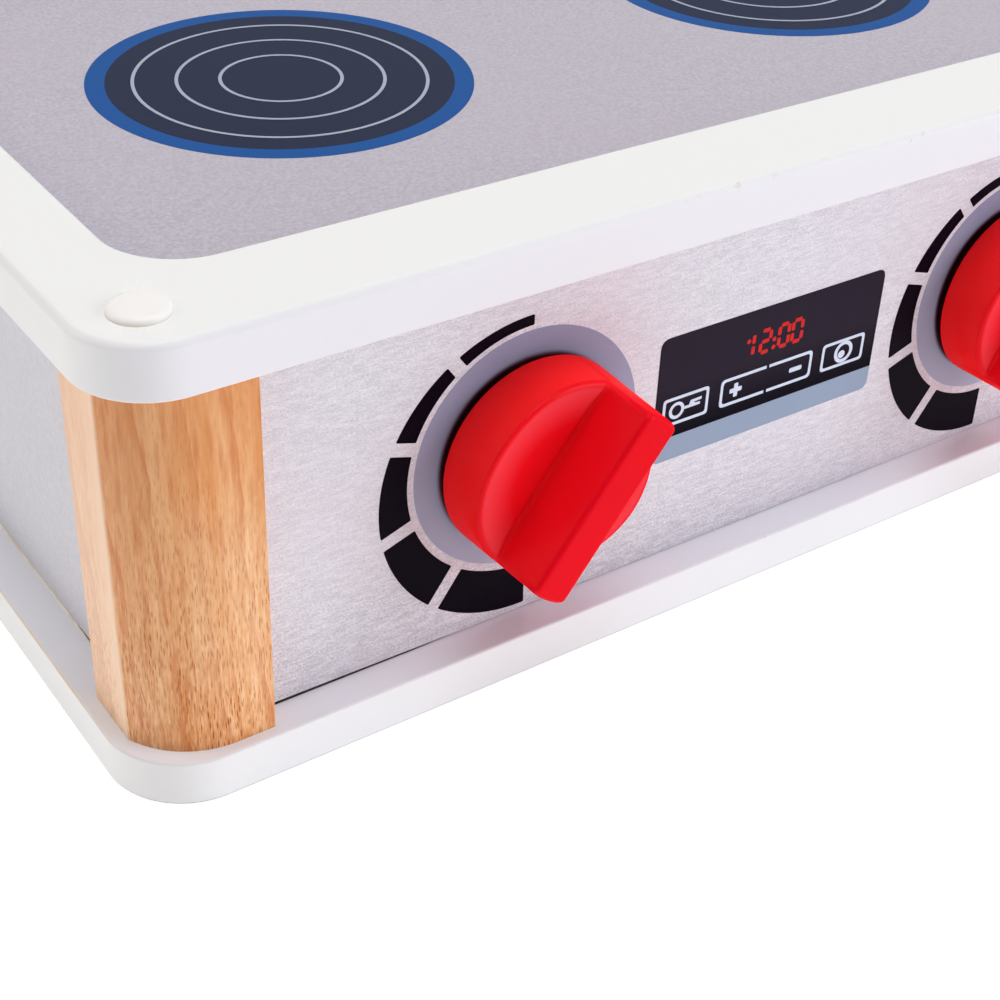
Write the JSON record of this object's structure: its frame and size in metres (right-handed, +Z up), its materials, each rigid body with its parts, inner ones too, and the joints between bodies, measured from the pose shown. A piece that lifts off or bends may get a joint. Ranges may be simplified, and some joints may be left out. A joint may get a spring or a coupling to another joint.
{
  "type": "toy hob",
  "caption": "Table-top play hob: painted base board and top frame on wooden corner posts, printed side panels, a recessed hob panel and click-stop control knobs.",
  "frame": {"origin": "centre of the base board's underside, on the surface that the toy stands on", "axes": "+X to the right along the front, +Y to the back, +Z up; the knobs are on the -Y side"},
  "size_m": [0.3694, 0.2612, 0.12],
  "materials": {
    "white_board": "satin white paint on board",
    "beech": "clear satin varnish on beech",
    "front_print": "printed brushed-metal pattern on hardboard",
    "side_print": "silver-grey paint on hardboard",
    "hob_print": "speckled grey print on hardboard",
    "cleat_wood": "bare softwood",
    "screw_steel": "zinc-plated steel",
    "cap_plastic": "moulded, satin",
    "red_plastic": "moulded, satin gloss",
    "spindle_steel": "turned steel",
    "felt": "pressed felt",
    "housing_plastic": "moulded",
    "wheel_plastic": "moulded",
    "spring_steel": "spring steel"
  },
  "bodies": {
    "body": {"base_board": "white_board", "top_frame": "white_board", "post_front_left": "beech", "post_front_right": "beech", "post_rear_left": "beech", "post_rear_right": "beech", "front_panel": "front_print", "rear_panel": "side_print", "left_panel": "side_print", "right_panel": "side_print", "hob_panel": "hob_print", "cleat_front": "cleat_wood", "cleat_rear": "cleat_wood", "cleat_screws": "screw_steel", "top_screws": "screw_steel", "bottom_screws": "screw_steel", "screw_caps": "cap_plastic", "felt_washer_left": "felt", "click_housing_left": "housing_plastic", "click_spring_left": "spring_steel", "housing_screws_left": "screw_steel", "felt_washer_right": "felt", "click_housing_right": "housing_plastic", "click_spring_right": "spring_steel", "housing_screws_right": "screw_steel"},
    "left_control": {"knob_left": "red_plastic", "spindle_left": "spindle_steel", "click_wheel_left": "wheel_plastic", "retaining_screw_left": "screw_steel"},
    "right_control": {"knob_right": "red_plastic", "spindle_right": "spindle_steel", "click_wheel_right": "wheel_plastic", "retaining_screw_right": "screw_steel"}
  },
  "joints": [
    {"name": "left_knob_turn", "type": "hinge", "parent": "body", "child": "left_control", "pos_m": [-0.07925, -0.1107, 0.0595], "axis": [0, -1, 0], "continuous": true, "deforming": ["click_spring_left"]},
    {"name": "right_knob_turn", "type": "hinge", "parent": "body", "child": "right_control", "pos_m": [0.07925, -0.1107, 0.0595], "axis": [0, -1, 0], "continuous": true, "deforming": ["click_spring_right"]}
  ]
}
